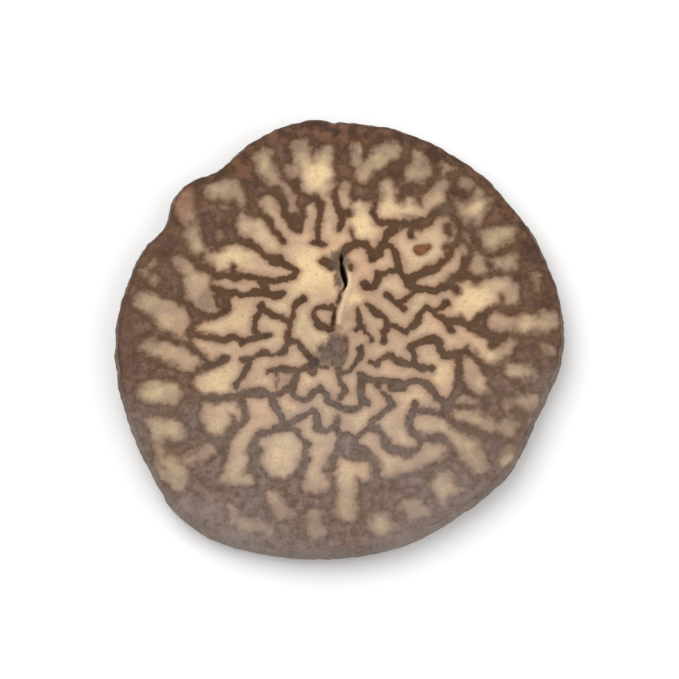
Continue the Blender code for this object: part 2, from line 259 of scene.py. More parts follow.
    (0.32, (-1.75, 6.08), (-0.95, 6.05)),
    (0.38, (0.1, 10.4), (-0.3, 9.7), (-0.35, 9.2), (-0.18, 8.7), (0.05, 8.2), (0.15, 7.8), (0.05, 7.4),
     (-0.08, 7.05)),
    (0.46, (0.1, 8.2), (0.5, 8.05)),
    (0.22, (0.72, 7.1), (0.75, 6.55)),
    (0.34, (0.5, 5.75), (0.95, 5.98), (1.5, 5.98)),
    (0.6, (0.95, 9.4), (1.35, 9.7), (1.6, 9.35), (2.2, 9.3)),
    (0.4, (3.9, 9.1), (3.75, 10.2), (3.2, 11), (2.6, 10.9), (2.25, 10.2), (2.2, 9.2), (2.1, 8.2),
     (2.35, 7.6), (3.2, 7.5), (4.3, 7.5), (5.2, 7.4), (5.9, 7.9), (6.4, 8.4), (7, 8.6)),
    (0.36, (0.2, 5.4), (0.5, 5.8), (0.9, 6.15), (1.65, 6.1), (1.9, 5.5), (2.1, 5.1), (2.5, 5.4),
     (2.65, 6), (3, 6.7), (3.5, 7.1), (4, 7.4)),
    (0.4, (2.7, 6), (3.15, 5.9), (3.5, 5.45), (3.65, 5), (3.7, 4.5), (3.85, 4.1), (4.15, 3.65)),
    (0.36, (4.5, 7.4), (4.5, 6.5)),
    (0.34, (6.8, 7.3), (6.8, 6.85)),
    (0.36, (2.3, 4.1), (2.8, 4.15), (3.3, 4.2), (3.7, 4.35)),
    (0.42, (4.15, 3.65), (4.7, 3.85), (5.3, 4.1), (5.95, 4.35), (6.45, 4.85), (6.85, 5.4), (7.2, 5.95),
     (7.6, 6.5), (7.7, 7.2), (7.2, 7.9), (7, 8.6)),
    (0.5, (5.4, 4.3), (5.9, 4.45)),
    (0.36, (7.6, 6.4), (8.1, 5.8), (8.05, 5), (7.85, 4.2), (8.6, 3.65), (9.2, 3.9)),
    (0.16, (9.35, 4.85), (9.5, 4.5)),
    (0.4, (8.3, 7.4), (8.6, 6.6), (8.7, 5.8), (9.3, 5.3), (10, 5.5), (10.8, 5.9)),
    (0.34, (3.95, 9.15), (4.1, 9.7), (4.6, 9.9), (5, 9.4), (5, 8.9)),
    (0.44, (4.9, 9.7), (5.4, 9.8), (6, 10.4), (6.1, 11.2)),
    (0.44, (7, 8.7), (7.25, 9.6), (7.2, 10.6)),
    (0.38, (4.8, -4.6), (4.45, -5.2), (4.3, -5.9), (4.6, -6.5), (5.1, -6.95), (5.9, -6.75), (6.5, -7),
     (7.1, -7.7), (7.5, -8.5), (7.9, -9.3)),
    (0.38, (4.6, -5), (5.6, -5.05), (6.5, -5.3), (7.1, -5.8), (7.6, -6.3), (8.3, -6.3), (8.9, -6.6),
     (9.2, -7.4)),
    (0.38, (1.8, -6.2), (2.4, -6.3), (2.75, -6.8), (3, -7.5), (3.6, -7.75), (4.2, -7.8), (4.7, -7.6),
     (5.05, -7.1)),
    (0.4, (0.6, -7), (1.2, -7.5), (1.7, -7.9), (2.1, -8.3), (2.3, -9), (2.35, -9.8)),
    (0.34, (9.8, -5), (9.8, -5.6)),
    (0.95, (0.45, -7), (0.75, -7.8)),
    (0.34, (10.9, -5.05), (11.35, -5.15), (11.55, -5.8), (11.25, -6.8)),
)
KNOTS = (  # x, y, radius of the small dark knots that many veins end in
    (-2.3, 2.35, 0.28), (2.05, 5.1, 0.28), (-3.6, 6.3, 0.24), (-1.4, 6.2, 0.22),
    (0.98, 0.27, 0.24), (2.75, -0.35, 0.25), (4.98, 8.95, 0.26), (3.95, 9.1, 0.26),
    (-6.75, 4.45, 0.25), (-7.2, 1.55, 0.25), (-7.3, -1.62, 0.24), (-6.1, -0.5, 0.24),
    (-4.62, -0.1, 0.28), (-4.98, 1.85, 0.3), (7.35, 2.95, 0.22), (6.75, 2.1, 0.25),
    (10.2, 2.35, 0.28), (9.75, -0.55, 0.3), (6.95, 0.38, 0.22), (5.7, -2.28, 0.22),
    (0.6, -5, 0.26), (3.3, -4.75, 0.26), (-6.5, -3.35, 0.26), (1.32, -1, 0.24),
    (-7.95, 3, 0.22), (4.5, 6.6, 0.25), (-0.43, 1.25, 0.18), (-0.42, 0.9, 0.22),
    (-1.55, -1.75, 0.34), (2.35, 3.95, 0.24), (1.7, 3.2, 0.28),
)
WIDENING_SPAN = (0.36, 0.6)  # shares of the radius between which the veins broaden
NARROW = 1.2  # what their widths are multiplied by inside that span
BROAD = 1.42  # and outside it
LOBE_SWELL = 0.24  # how far a lobe reaches beyond its own width
WAVES_ACROSS = ((1.2, 0.05, 11), (0.5, 0.022, 13))  # wavelength, size and seed of how the runs waver
WAVES_UP = ((1.2, 0.05, 12), (0.5, 0.022, 14))
FIELD_REACH = 0.8  # r, the distance at which the field levels off
BORDER_SOFTNESS = 0.07
CROWDED = (0.54, 0.68)  # shares of the radius between which brown takes over from flesh
CROWDED_WAVES = (3.0, 0.03, 21)  # and how those shares waver
SKIN_BAND = (0.89, 1.03)  # shares of the radius between which the flesh ends
SKIN_BAND_WAVES = (1.6, 0.012, 22)
FLESH_AT_THE_SKIN = (  # x, y, radius, amount of the places where a lobe runs out to the skin
    (10.8, -8.1, 1.1, 1.1), (13.3, 1.1, 1, 1), (12.4, -4.8, 1, 0.8), (12, -5.9, 0.7, 0.7),
    (13.2, -1, 0.6, 0.6), (-11.2, -8.9, 1.3, 0.8), (-12.3, 4.2, 0.8, 0.5),
)

# A square sheet of points over the cut, on which the folds are worked out.
SHEET_SPAN = 31.0
SHEET_COUNT = 448
sheet_step = SHEET_SPAN / SHEET_COUNT
sheet_line = (np.arange(SHEET_COUNT) + 0.5) * sheet_step - SHEET_SPAN / 2.0
sheet_x, sheet_y = np.meshgrid(sheet_line, sheet_line)
waves_x = np.fft.rfftfreq(SHEET_COUNT, sheet_step)[None, :]
waves_y = np.fft.fftfreq(SHEET_COUNT, sheet_step)[:, None]
wave_number = np.hypot(waves_x, waves_y)


def filtered(field, response):
    """The field with each of its waves multiplied by response, a function of one over the wavelength."""
    return np.fft.irfft2(np.fft.rfft2(field) * response, s=field.shape)


def blur(size):
    """The response of a soft blur: exp(-2 (pi size k)^2), where k is one over the wavelength."""
    return np.exp(-2.0 * (np.pi * size * wave_number) ** 2)


def ramp(start, end, value):
    """0 up to start and 1 from end on, with the smooth rise 3t^2 - 2t^3 between."""
    share = np.clip((value - start) / (end - start), 0.0, 1.0)
    return share * share * (3.0 - 2.0 * share)


def waves(wavelength, size, seed):
    """Seeded noise whose waves are all about this long and, in their spread, of this size."""
    spread = 0.35 / wavelength
    response = np.exp(-0.5 * ((wave_number - 1.0 / wavelength) / spread) ** 2)
    drawn = np.random.default_rng(seed).standard_normal((SHEET_COUNT, SHEET_COUNT))
    field = filtered(drawn, response)
    return size * (field / field.std())


def from_run(x, y, start, end):
    """The share of a straight run at its nearest place, and how far x and y are from that place."""
    run_x = end[0] - start[0]
    run_y = end[1] - start[1]
    from_x = x - start[0]
    from_y = y - start[1]
    share = np.clip((from_x * run_x + from_y * run_y) / (run_x**2 + run_y**2), 0.0, 1.0)
    return share, from_x - share * run_x, from_y - share * run_y


def distance_to_runs(x, y, points):
    """Distance to the nearest place on the straight runs between the points."""
    nearest = np.full(x.shape, SHEET_SPAN)
    for start, end in zip(points[:-1], points[1:]):
        nearest = np.minimum(nearest, np.hypot(*from_run(x, y, start, end)[1:]))
    return nearest


def spots_sum(x, y, spots):
    """The sum over the spots of amount * exp(-(distance / radius)^2)."""
    total = np.zeros(x.shape)
    for spot_x, spot_y, radius, amount in spots:
        total += amount * np.exp(-(((x - spot_x) ** 2 + (y - spot_y) ** 2) / radius**2))
    return total


def fold_field():
    """Above 0 in the flesh and below 0 in the brown, in millimetres from the border between them.

    Near the middle all is flesh but for the veins, and further out all is brown but for the lobes: the least
    of the distance to the veins and of the greater of what the lobes reach and what the place is by itself.
    The points are read off a sheet shifted by seeded noise, so no run is straight. The field levels off, as
    r tanh(field / r), and a blur rounds it.
    """
    wavy_x = sheet_x
    wavy_y = sheet_y
    for across, up in zip(WAVES_ACROSS, WAVES_UP):
        wavy_x = wavy_x + waves(*across)
        wavy_y = wavy_y + waves(*up)
    angle = np.degrees(np.arctan2(sheet_y, sheet_x)) % 360.0
    share = np.hypot(sheet_x, sheet_y) / edge_radius(angle)
    broader = NARROW + (BROAD - NARROW) * ramp(*WIDENING_SPAN, share)
    from_vein = np.full(sheet_x.shape, SHEET_SPAN)
    for width, *points in BROWN_VEINS:
        from_vein = np.minimum(from_vein, distance_to_runs(wavy_x, wavy_y, points) - broader * width / 2.0)
    for x, y, radius in KNOTS:
        from_vein = np.minimum(from_vein, np.hypot(wavy_x - x, wavy_y - y) - radius)
    from_lobe = np.full(sheet_x.shape, SHEET_SPAN)
    for width, *points in FLESH_LOBES:
        from_lobe = np.minimum(from_lobe, distance_to_runs(wavy_x, wavy_y, points) - width / 2.0)
    by_itself = 0.5 - ramp(*CROWDED, share + waves(*CROWDED_WAVES))
    field = np.minimum(from_vein, np.maximum(LOBE_SWELL - from_lobe, by_itself))
    by_the_skin = 0.6 - 1.5 * ramp(*SKIN_BAND, share + waves(*SKIN_BAND_WAVES))
    field = np.minimum(field, by_the_skin + spots_sum(sheet_x, sheet_y, FLESH_AT_THE_SKIN))
    return filtered(FIELD_REACH * np.tanh(field / FIELD_REACH), blur(BORDER_SOFTNESS))


def on_the_sheet(field, x, y):
    """The field's value at points between those of the sheet, from the four round each of them."""
    across = np.clip((x + SHEET_SPAN / 2.0) / sheet_step - 0.5, 0.0, SHEET_COUNT - 1.001)
    up = np.clip((y + SHEET_SPAN / 2.0) / sheet_step - 0.5, 0.0, SHEET_COUNT - 1.001)
    column = across.astype(int)
    row = up.astype(int)
    right = across - column
    above = up - row
    low = field[row, column] * (1.0 - right) + field[row, column + 1] * right
    high = field[row + 1, column] * (1.0 - right) + field[row + 1, column + 1] * right
    return low * (1.0 - above) + high * above


to_the_vein = fold_field()
flesh_share = filtered((to_the_vein > 0.0).astype(float), blur(0.38))  # of pale flesh round each place

# Where this slice's flesh is creamier than elsewhere, and where it is duller: x, y, radius, amount.
TONES = (
    (-1.9, 4.3, 1.7, 1), (-1.4, 10.8, 1.1, 1), (1.4, 7.3, 1, 1), (8.6, 2.4, 1.4, 0.8),
    (-3.7, -7.9, 1.1, 0.6), (-7.8, -3.2, 1.1, 0.7), (-6.5, 1.2, 0.9, 0.8), (6.2, -2.7, 0.8, 0.7),
    (0.95, 2.3, 0.5, 0.9), (-1.6, 0.2, 0.8, 0.5), (3, 8.4, 0.9, 0.5), (4.6, 8.4, 0.9, 0.55),
    (6.3, 9.4, 0.8, 0.4), (-6.8, 5.1, 0.9, 0.6), (9.3, -1.2, 0.8, 0.6), (4.5, -4.2, 0.8, 0.6),
    (1.3, -5.5, 0.7, 0.6), (-2, -2.8, 0.7, 0.6), (0.5, -8.9, 0.9, 0.4), (-7.8, 2.2, 1, -2),
    (-10.2, 4.7, 0.7, -0.9), (-9.2, 6.3, 0.9, -0.5), (-3.2, 9.3, 0.9, -0.7), (-7.6, 9.6, 0.9, 0.3),
    (0.5, 1.2, 0.6, -0.6), (-3.3, -3, 0.6, -1), (0.7, 9.9, 0.9, -0.7), (4.9, 11.2, 0.9, 0.1),
    (-4.6, 12.3, 0.8, -0.7), (-2.6, 12.7, 0.7, -1.1), (3.4, 12.8, 0.8, -0.8), (-5.8, 9.4, 0.6, -0.8),
    (-8.8, -7.8, 1, -0.9), (-10.4, -9, 1, 0.1), (-1.85, 7.8, 0.6, -0.5), (-0.6, 7.4, 0.7, -0.4),
    (-12, 4.2, 1.2, -0.9), (-3.1, 10.9, 0.45, -1.2), (12.4, 3.5, 0.7, -1.8), (13.1, -1, 0.6, -0.9),
    (11.8, 0.7, 0.9, 0.5), (-3, 8.7, 0.6, -0.9), (10, 0.8, 0.8, -0.7), (-3.4, -12, 1.3, -0.9),
    (-1.5, -12.5, 0.9, -1.2), (2.6, -12.8, 0.9, -0.3), (4.6, -11.6, 0.9, -0.9), (-5.2, -12.9, 1, -0.9),
    (-6.6, -11.8, 0.7, -0.9), (8, 10.1, 0.8, -1.5), (6.8, 10.6, 0.8, -0.7), (8.1, -4.4, 0.8, -1),
    (12.1, -4.7, 0.8, -0.5), (10.4, -4.9, 0.9, -1.2), (-11.6, -3.9, 0.8, 0.35), (-11.3, -6.3, 0.8, 0.3),
    (6.6, -10.3, 0.9, 0.4), (10.7, -8.2, 1, 0.4), (11.3, -2.5, 0.8, 0.4), (-8.2, 1.9, 0.7, -1),
    (9.8, 6.5, 0.8, 0.3), (8.7, 8.6, 0.9, 0.7), (8.6, 4.7, 0.9, -0.6), (8.3, -2.6, 0.8, -0.6),
    (-5, -5.4, 0.8, -0.4), (2.2, -7.4, 0.6, -0.5),
)
STAINS = (  # the same for rusty brown stains
    (-9.9, 8.9, 1.1, 0.7), (-1.1, 4.95, 0.35, 0.35), (0.8, 13.2, 1.4, 0.4), (4.83, 5.72, 0.2, 1.4),
    (5.05, 5.6, 0.28, 2.4), (5.35, 5.76, 0.22, 1.4), (5.62, 5.87, 0.26, 0.8), (5.2, 5.85, 0.95, 0.45),
    (-6.3, 1.25, 0.7, 0.5), (11.2, -7, 0.6, 0.5), (-10.5, -8.7, 1.1, 0.3), (-10.3, -7.7, 0.6, 0.45),
    (-11.9, -7.8, 0.7, 0.45), (-6.6, 11.4, 0.8, 0.5), (10.2, 8, 0.9, 0.4),
)
PURPLE_SMUDGES = (  # the same for purple grey, in the hollow and in five places further out
    (-0.38, 0.1, 0.42, 0.35), (-0.3, -0.45, 0.52, 1), (-0.15, -1, 0.5, 1), (0.35, -0.45, 0.36, 0.5),
    (-7.7, 6.8, 1, 0.42), (9.7, -7.3, 0.9, 0.6), (4.4, -9.8, 1.2, 0.52), (8.2, 7, 0.9, 0.4),
    (7, 3.55, 0.5, 0.6),
)
OLIVE_SMUDGES_AND_CRACK_SHADE = (  # and for olive brown, in the hollow and in three places further out, and for painted shade beside the crack
    (9.7, -3.9, 0.9, 0.6), (8.1, 10.9, 0.6, 0.5), (6.65, 8.4, 0.6, 0.95), (-1, -1.3, 0.6, 1),
    (-0.4, -1.55, 0.6, 1), (0.15, -1.75, 0.42, 0.7), (-1, -0.7, 0.45, 0.6), (0.42, -1.2, 0.34, 0.5),
    # From (-0.15, 5) on, the rows are painted shade round the crack's upper part, mostly on its left, where
    # the lip dips into the split.
    (-1.85, -2.05, 0.34, 0.5), (-0.15, 5, 0.4, 1.35), (-0.15, 4.4, 0.38, 1), (-0.1, 3.8, 0.36, 1),
    (-0.08, 3.3, 0.32, 1), (0.45, 5, 0.32, 0.9), (0.46, 4.55, 0.24, 0.5), (0.05, 5.48, 0.33, 0.9),
    (-0.5, 5.35, 0.32, 0.6),
)
TAN_PLACES = (  # and for the tan of the knob at the upper left
    (-9.95, 8.6, 0.75, 1),
    (-9.75, 9.4, 0.55, 0.7),
    (-9.6, 7.6, 0.5, 0.5),
)
PORES = ((-1.55, -1.72, 0.36, 1.0),)  # and for the dark pore beside the hollow
NEAR_GREYING_PLACES = (  # and for where the colour turns lighter and greyer, thinly over the near half and more at the near rim
    (-5, -7, 6.5, 0.46), (4.5, -7, 6.5, 0.44), (-10.9, -12.2, 2.6, 0.42), (-6.5, -14.5, 2.8, 0.68),
    (-9.7, -11.3, 0.6, 0.3), (-8.2, -11.6, 0.6, 0.35), (-1.5, -15.6, 2.6, 0.62), (3.5, -15, 2.6, 0.66),
    (7.8, -13, 3, 0.56), (12.4, -9.6, 2.8, 0.55), (14, -4, 3, 0.4), (-13.8, -6.5, 2.6, 0.5),
)
SHADED_PLACES = (  # and for where the brown is darker, redder and blotched, round the far half's rim
    (0, 14.5, 4.5, 0.8), (8.5, 11.2, 3.2, 1.4), (-7.5, 11.5, 3, 0.6), (0, 9, 9, 0.35),
    (11, 6.5, 4.5, 0.7), (13.5, 1, 3, 0.5), (-10.5, 7, 4, 0.55),
)
# The crack's right lip, painted paler than the flesh round it as a highlight on its raised edge: the points
# that it runs through.
PAINTED_LIP_HIGHLIGHT = ((0.6, 4.1), (0.58, 3.5), (0.42, 2.8), (0.14, 2.0), (-0.02, 1.3), (-0.08, 0.8))


# The cut faces and the skin as one closed sheet. The blade leaves slow waves and lets the softer veins sink.
# The crack opened as the slice dried, and below it lies the small hollow of the nut's core.
MM = 0.001
THICKNESS = 2.4
WEDGE = 0.16  # added to the thickness at the thick side and taken off opposite
WEDGE_ANGLE = 232.0  # direction of that side
BLADE_WAVES = ((6.0, 0.012, 31), (0.8, 0.006, 32))
VEIN_SINK = 0.05  # how far the veins lie below the flesh
HOLLOW_RUNS = (  # the lines along which the hollow is deepest
    ((-0.35, 0.3), (-0.2, -0.4), (-0.25, -1.1), (-0.1, -1.7)),
    ((-0.25, -1.1), (-1, -1.35), (-1.6, -1.75)),
)
HOLLOW_REACH = (0.15, 0.6)  # distances from those runs between which the hollow rises to the face
HOLLOW_WAVES = (0.6, 0.09, 33)  # and how those distances waver
HOLLOW_DEPTH = 0.3
SIDE_BULGE = 0.3
BASE_INSET = 0.22  # how far the base's edge lies inside the upper one
EDGE_ROUNDING = 0.1  # how far the upper face stops short of the skin
BASE_ROUNDING = 0.35  # and the base
NIBBLE = 0.05  # unevenness of the cut edge
SKIN_INSET = 0.06
CRAG = 0.03  # unevenness of the skin
CRACK = (  # x, y, width, depth, from the far end to the near one
    (0.1, 5.38, 0.08, 0.3), (0.1, 5.12, 0.2, 1.1), (0.09, 4.8, 0.1, 0.7), (0.15, 4.5, 0.24, 1.4),
    (0.23, 4.1, 0.28, 1.5), (0.34, 3.7, 0.25, 1.4), (0.38, 3.35, 0.13, 0.9), (0.16, 2.9, 0.1, 0.2),
    (-0.15, 2.35, 0.08, 0.12), (-0.28, 1.75, 0.08, 0.12), (-0.42, 1.1, 0.16, 0.25), (-0.42, 0.6, 0.1, 0.12),
)
EDGE_NICKS = (  # direction, depth and width of the small nicks at the far edge
    (91.5, 0.14, 1.2), (88, 0.07, 1), (100.5, 0.08, 1), (105.5, 0.09, 1.3), (111, 0.06, 1),
)
CRACK_SLOPE = 0.5  # how far from the crack its lips bend
LEFT_DIP = 0.22
RIGHT_RISE = 0.05
CRACK_WIDER = 0.04  # added to its half width, so that the mesh shows its narrow parts
GATHERING = 0.5  # how much closer the mesh's points stand at the crack
GATHER_REACH = (1.8, 3.0)  # across the crack and along it
TOP_HALF = 130  # steps of the grid from the middle of the upper face to its edge
BASE_HALF = TOP_HALF // 2
SIDE_DOWN = np.array((0.015, 0.06, 0.18, 0.34, 0.5, 0.66, 0.82, 0.94, 0.985, 1.0))


def disc_grid(half):
    """A square grid wrapped onto the unit disc: each square ring of it becomes a circle.

    reach = max(|a|, |b|), and the angle goes evenly with the place along the ring. Gives reach, degrees.
    """
    line = np.linspace(-1.0, 1.0, 2 * half + 1)
    a, b = np.meshgrid(line, line)
    wide = np.abs(a) >= np.abs(b)
    safe_a = np.where(np.abs(a) < 1e-9, 1.0, a)
    safe_b = np.where(np.abs(b) < 1e-9, 1.0, b)
    beside = 45.0 * b / safe_a + np.where(a < 0.0, 180.0, 0.0)
    above = 90.0 - 45.0 * a / safe_b + np.where(b < 0.0, 180.0, 0.0)
    return np.maximum(np.abs(a), np.abs(b)), np.where(wide, beside, above) % 360.0


def ring_of(half):
    """Numbers of the grid's outermost points, counter-clockwise from the lower left corner."""
    side = 2 * half + 1
    numbers = np.arange(side * side).reshape(side, side)
    return np.concatenate((numbers[0, :-1], numbers[:-1, -1], numbers[-1, :0:-1], numbers[:0:-1, 0]))


def grid_faces(half):
    """The grid's squares, counter-clockwise seen from above."""
    side = 2 * half + 1
    numbers = np.arange(side * side).reshape(side, side)
    corners = (numbers[:-1, :-1], numbers[:-1, 1:], numbers[1:, 1:], numbers[1:, :-1])
    return np.stack([c.ravel() for c in corners], axis=1)


def along_crack(x, y):
    """Distance to the crack's middle line, on which side, and its half width and depth there."""
    away = np.full(x.shape, SHEET_SPAN)
    on_left = np.zeros(x.shape, dtype=bool)
    half = np.zeros(x.shape)
    deep = np.zeros(x.shape)
    for start, end in zip(CRACK[:-1], CRACK[1:]):
        share, from_x, from_y = from_run(x, y, start, end)
        here = np.hypot(from_x, from_y)
        nearer = here < away
        away = np.where(nearer, here, away)
        on_left = np.where(nearer, from_x < 0.0, on_left)
        half = np.where(nearer, (start[2] + (end[2] - start[2]) * share) / 2.0, half)
        deep = np.where(nearer, start[3] + (end[3] - start[3]) * share, deep)
    return away, on_left, half, deep


def crack_depth(x, y):
    """A blind split of V section, deepest along its middle; its left lip dips and its right one rises."""
    away, on_left, half, deep = along_crack(x, y)
    split = deep * np.clip(1.0 - away / (half + CRACK_WIDER), 0.0, 1.0)
    beside = np.clip(1.0 - away / CRACK_SLOPE, 0.0, 1.0) ** 1.5
    open_part = ramp(0.5, 1.3, deep)
    return split + open_part * beside * np.where(on_left, LEFT_DIP, -RIGHT_RISE)


def in_hollow(x, y):
    """1 in the middle of the hollow and 0 outside it, with an uneven border."""
    away = np.minimum(*(distance_to_runs(x, y, run) for run in HOLLOW_RUNS))
    away += on_the_sheet(waves(*HOLLOW_WAVES), x, y)
    return 1.0 - ramp(*HOLLOW_REACH, away)


def face_height(x, y):
    """The upper face's height: the wedge and slow waves, less the sunken veins, the hollow and the crack."""
    thick_side = math.radians(WEDGE_ANGLE)
    along = (x * math.cos(thick_side) + y * math.sin(thick_side)) / PLAIN_RADIUS
    height = THICKNESS + WEDGE * along
    for row in BLADE_WAVES:
        height += on_the_sheet(waves(*row), x, y)
    height -= VEIN_SINK * (1.0 - ramp(-0.12, 0.12, on_the_sheet(to_the_vein, x, y)))
    height -= HOLLOW_DEPTH * in_hollow(x, y)
    height -= crack_depth(x, y)
    return height


def round_noise(rows, count, finest, seed):
    """Noise round the skin, without a seam: rows x count values, with a spread of 1.

    Each wave counts exp(-(k finest)^2) / (0.004 + hypot(k, 0.25 m)), where k is one over its length round
    the skin and m one over its length down it, both in steps.
    """
    drawn = np.random.default_rng(seed).standard_normal((rows, count))
    k_round = np.fft.rfftfreq(count)[None, :]
    k_down = np.fft.fftfreq(rows)[:, None] * 0.25
    response = 1.0 / (0.004 + np.hypot(k_round, k_down)) * np.exp(-((k_round * finest) ** 2))
    field = np.fft.irfft2(np.fft.rfft2(drawn) * response, s=(rows, count))
    return (field - field.mean()) / field.std()


def places_round(radius, angle):
    """x and y of the points at these radii and angles, in degrees, from the middle."""
    turn = np.radians(angle)
    return radius * np.cos(turn), radius * np.sin(turn)


# The upper face.
reach, angle = disc_grid(TOP_HALF)
top_x, top_y = places_round((reach * edge_radius(angle)).ravel(), angle.ravel())
crack_x, crack_y = max(CRACK, key=lambda place: place[2])[:2]  # where it gapes widest
across = (top_x - crack_x) / GATHER_REACH[0]
along = (top_y - crack_y) / GATHER_REACH[1]
top_x = top_x + (crack_x - top_x) * GATHERING * np.exp(-(across**2) - along**2)
top_ring = ring_of(TOP_HALF)
ring_angle = angle.ravel()[top_ring]
nibbled = NIBBLE * np.clip(round_noise(1, len(top_ring), 6.0, 41)[0], -2.0, 2.0)
nibbled = with_swells(nibbled, ring_angle, EDGE_NICKS)
edge_weight = ramp(0.93, 1.0, reach).ravel()
edge_order = np.argsort(ring_angle)
nibble_here = np.interp(angle.ravel(), ring_angle[edge_order], nibbled[edge_order], period=360.0)
inward = 1.0 - edge_weight * (EDGE_ROUNDING + nibble_here) / PLAIN_RADIUS
top_x = top_x * inward
top_y = top_y * inward
top_z = face_height(top_x, top_y)

# The skin, in rings from the upper edge down to the base's edge.
count = len(top_ring)
down = SIDE_DOWN[:, None]
crags = round_noise(len(SIDE_DOWN), count, 5.0, 42)
bulge = SIDE_BULGE * np.sin(np.pi * np.clip(down * 1.02, 0.0, 1.0) ** 0.8)
side_radius = edge_radius(ring_angle)[None, :] + bulge - BASE_INSET * down
side_radius -= SKIN_INSET + CRAG * np.clip(crags, -2.0, 2.0) + nibbled[None, :] * (1.0 - down)
side_x, side_y = places_round(side_radius, ring_angle)
side_z = top_z[top_ring][None, :] * (1.0 - down)

# The base, with half as many steps.
base_reach, base_angle = disc_grid(BASE_HALF)
base_radius = base_reach * (edge_radius(base_angle) - BASE_INSET - BASE_ROUNDING)
base_x, base_y = places_round(base_radius.ravel(), base_angle.ravel())
base_sink = 1.0 - ramp(-0.1, 0.16, on_the_sheet(to_the_vein, base_x, base_y))
base_z = VEIN_SINK * base_sink * (1.0 - ramp(0.96, 1.0, base_reach).ravel())

points_x = np.concatenate((top_x, side_x.ravel(), base_x))
points_y = np.concatenate((top_y, side_y.ravel(), base_y))
points_z = np.concatenate((top_z, side_z.ravel(), base_z))

first_side = top_x.size
first_base = first_side + side_x.size
rings = np.vstack((top_ring[None, :], first_side + np.arange(side_x.size).reshape(side_x.shape)))
upper = rings[:-1]
lower = rings[1:]
side_faces = np.stack(
    (upper.ravel(), lower.ravel(), np.roll(lower, -1, axis=1).ravel(), np.roll(upper, -1, axis=1).ravel()),
    axis=1,
)
foot = rings[-1]
inner = first_base + ring_of(BASE_HALF)
inner_next = np.roll(inner, -1)
foot_even = foot[0::2]
foot_odd = foot[1::2]
foot_next = np.roll(foot_even, -1)
stitches = np.concatenate(
    (
        np.stack((foot_even, inner, foot_odd), axis=1),
        np.stack((foot_odd, inner, inner_next), axis=1),
        np.stack((foot_odd, inner_next, foot_next), axis=1),
    )
)
base_faces = first_base + grid_faces(BASE_HALF)[:, ::-1]
faces = grid_faces(TOP_HALF).tolist() + side_faces.tolist() + stitches.tolist() + base_faces.tolist()

centre_x = (points_x.min() + points_x.max()) / 2.0
centre_y = (points_y.min() + points_y.max()) / 2.0
node_low, node_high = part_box("betel_nut_slice")
shift_x = (node_low.x + node_high.x) / 2.0 / MM - centre_x
shift_y = (node_low.y + node_high.y) / 2.0 / MM - centre_y
points_z = np.minimum(points_z, node_high.z / MM)
places = np.stack((points_x + shift_x, points_y + shift_y, points_z), axis=1) * MM

mesh = bpy.data.meshes.new("betel_nut_slice_cut")
mesh.from_pydata(places.tolist(), [], faces)
mesh.shade_smooth()
slice_piece = bpy.data.objects.new("betel_nut_slice_cut", mesh)
bpy.context.scene.collection.objects.link(slice_piece)


def tell(name, values):
    """Stores one number for each point of the slice, for its material to read."""
    mesh.attributes.new(name, "FLOAT", "POINT").data.foreach_set("value", values.astype(np.float32))


is_side = np.zeros(points_x.size)
is_side[first_side:first_base] = 1.0
on_top = np.zeros(points_x.size)
on_top[:first_side] = 1.0
out_share = np.hypot(points_x, points_y) / edge_radius(np.degrees(np.arctan2(points_y, points_x)) % 360.0)
tell("flesh", on_the_sheet(to_the_vein, points_x, points_y))
tell("fullness", on_the_sheet(flesh_share, points_x, points_y))
tell("skin", is_side)
tell("outward", out_share)
crack_away, _, crack_half, crack_deep = along_crack(points_x, points_y)
# The crack's dark colour: its dry inside is dark, and it is painted darker still as shade where the split is
# deep.
tell("crack", on_top * (1.0 - ramp(-0.02, 0.1, crack_away - crack_half)) * ramp(0.2, 1.0, crack_deep))
# a painted highlight along the crack's right lip
tell("painted_lip_highlight", on_top * (1.0 - ramp(0.0, 0.24, distance_to_runs(points_x, points_y, PAINTED_LIP_HIGHLIGHT))))
for name, spots in (("purple", PURPLE_SMUDGES), ("olive_and_crack_shade", OLIVE_SMUDGES_AND_CRACK_SHADE), ("pore", PORES)):
    tell(name, on_top * spots_sum(points_x, points_y, spots))
tell("knot", spots_sum(points_x, points_y, [(x, y, 1.1 * radius, 1.0) for x, y, radius in KNOTS]))
for name, spots in (("tone", TONES), ("stain", STAINS), ("tan", TAN_PLACES)):
    tell(name, spots_sum(points_x, points_y, spots))
for name, spots in (("near_greying", NEAR_GREYING_PLACES), ("shade", SHADED_PLACES)):
    tell(name, spots_sum(points_x, points_y, spots))


def srgb(red, green, blue):
    """A colour given as it looks on a screen, 0 to 255, as light."""
    shares = [c / 255.0 for c in (red, green, blue)]
    return tuple(s / 12.92 if s <= 0.04045 else ((s + 0.055) / 1.055) ** 2.4 for s in shares) + (1.0,)


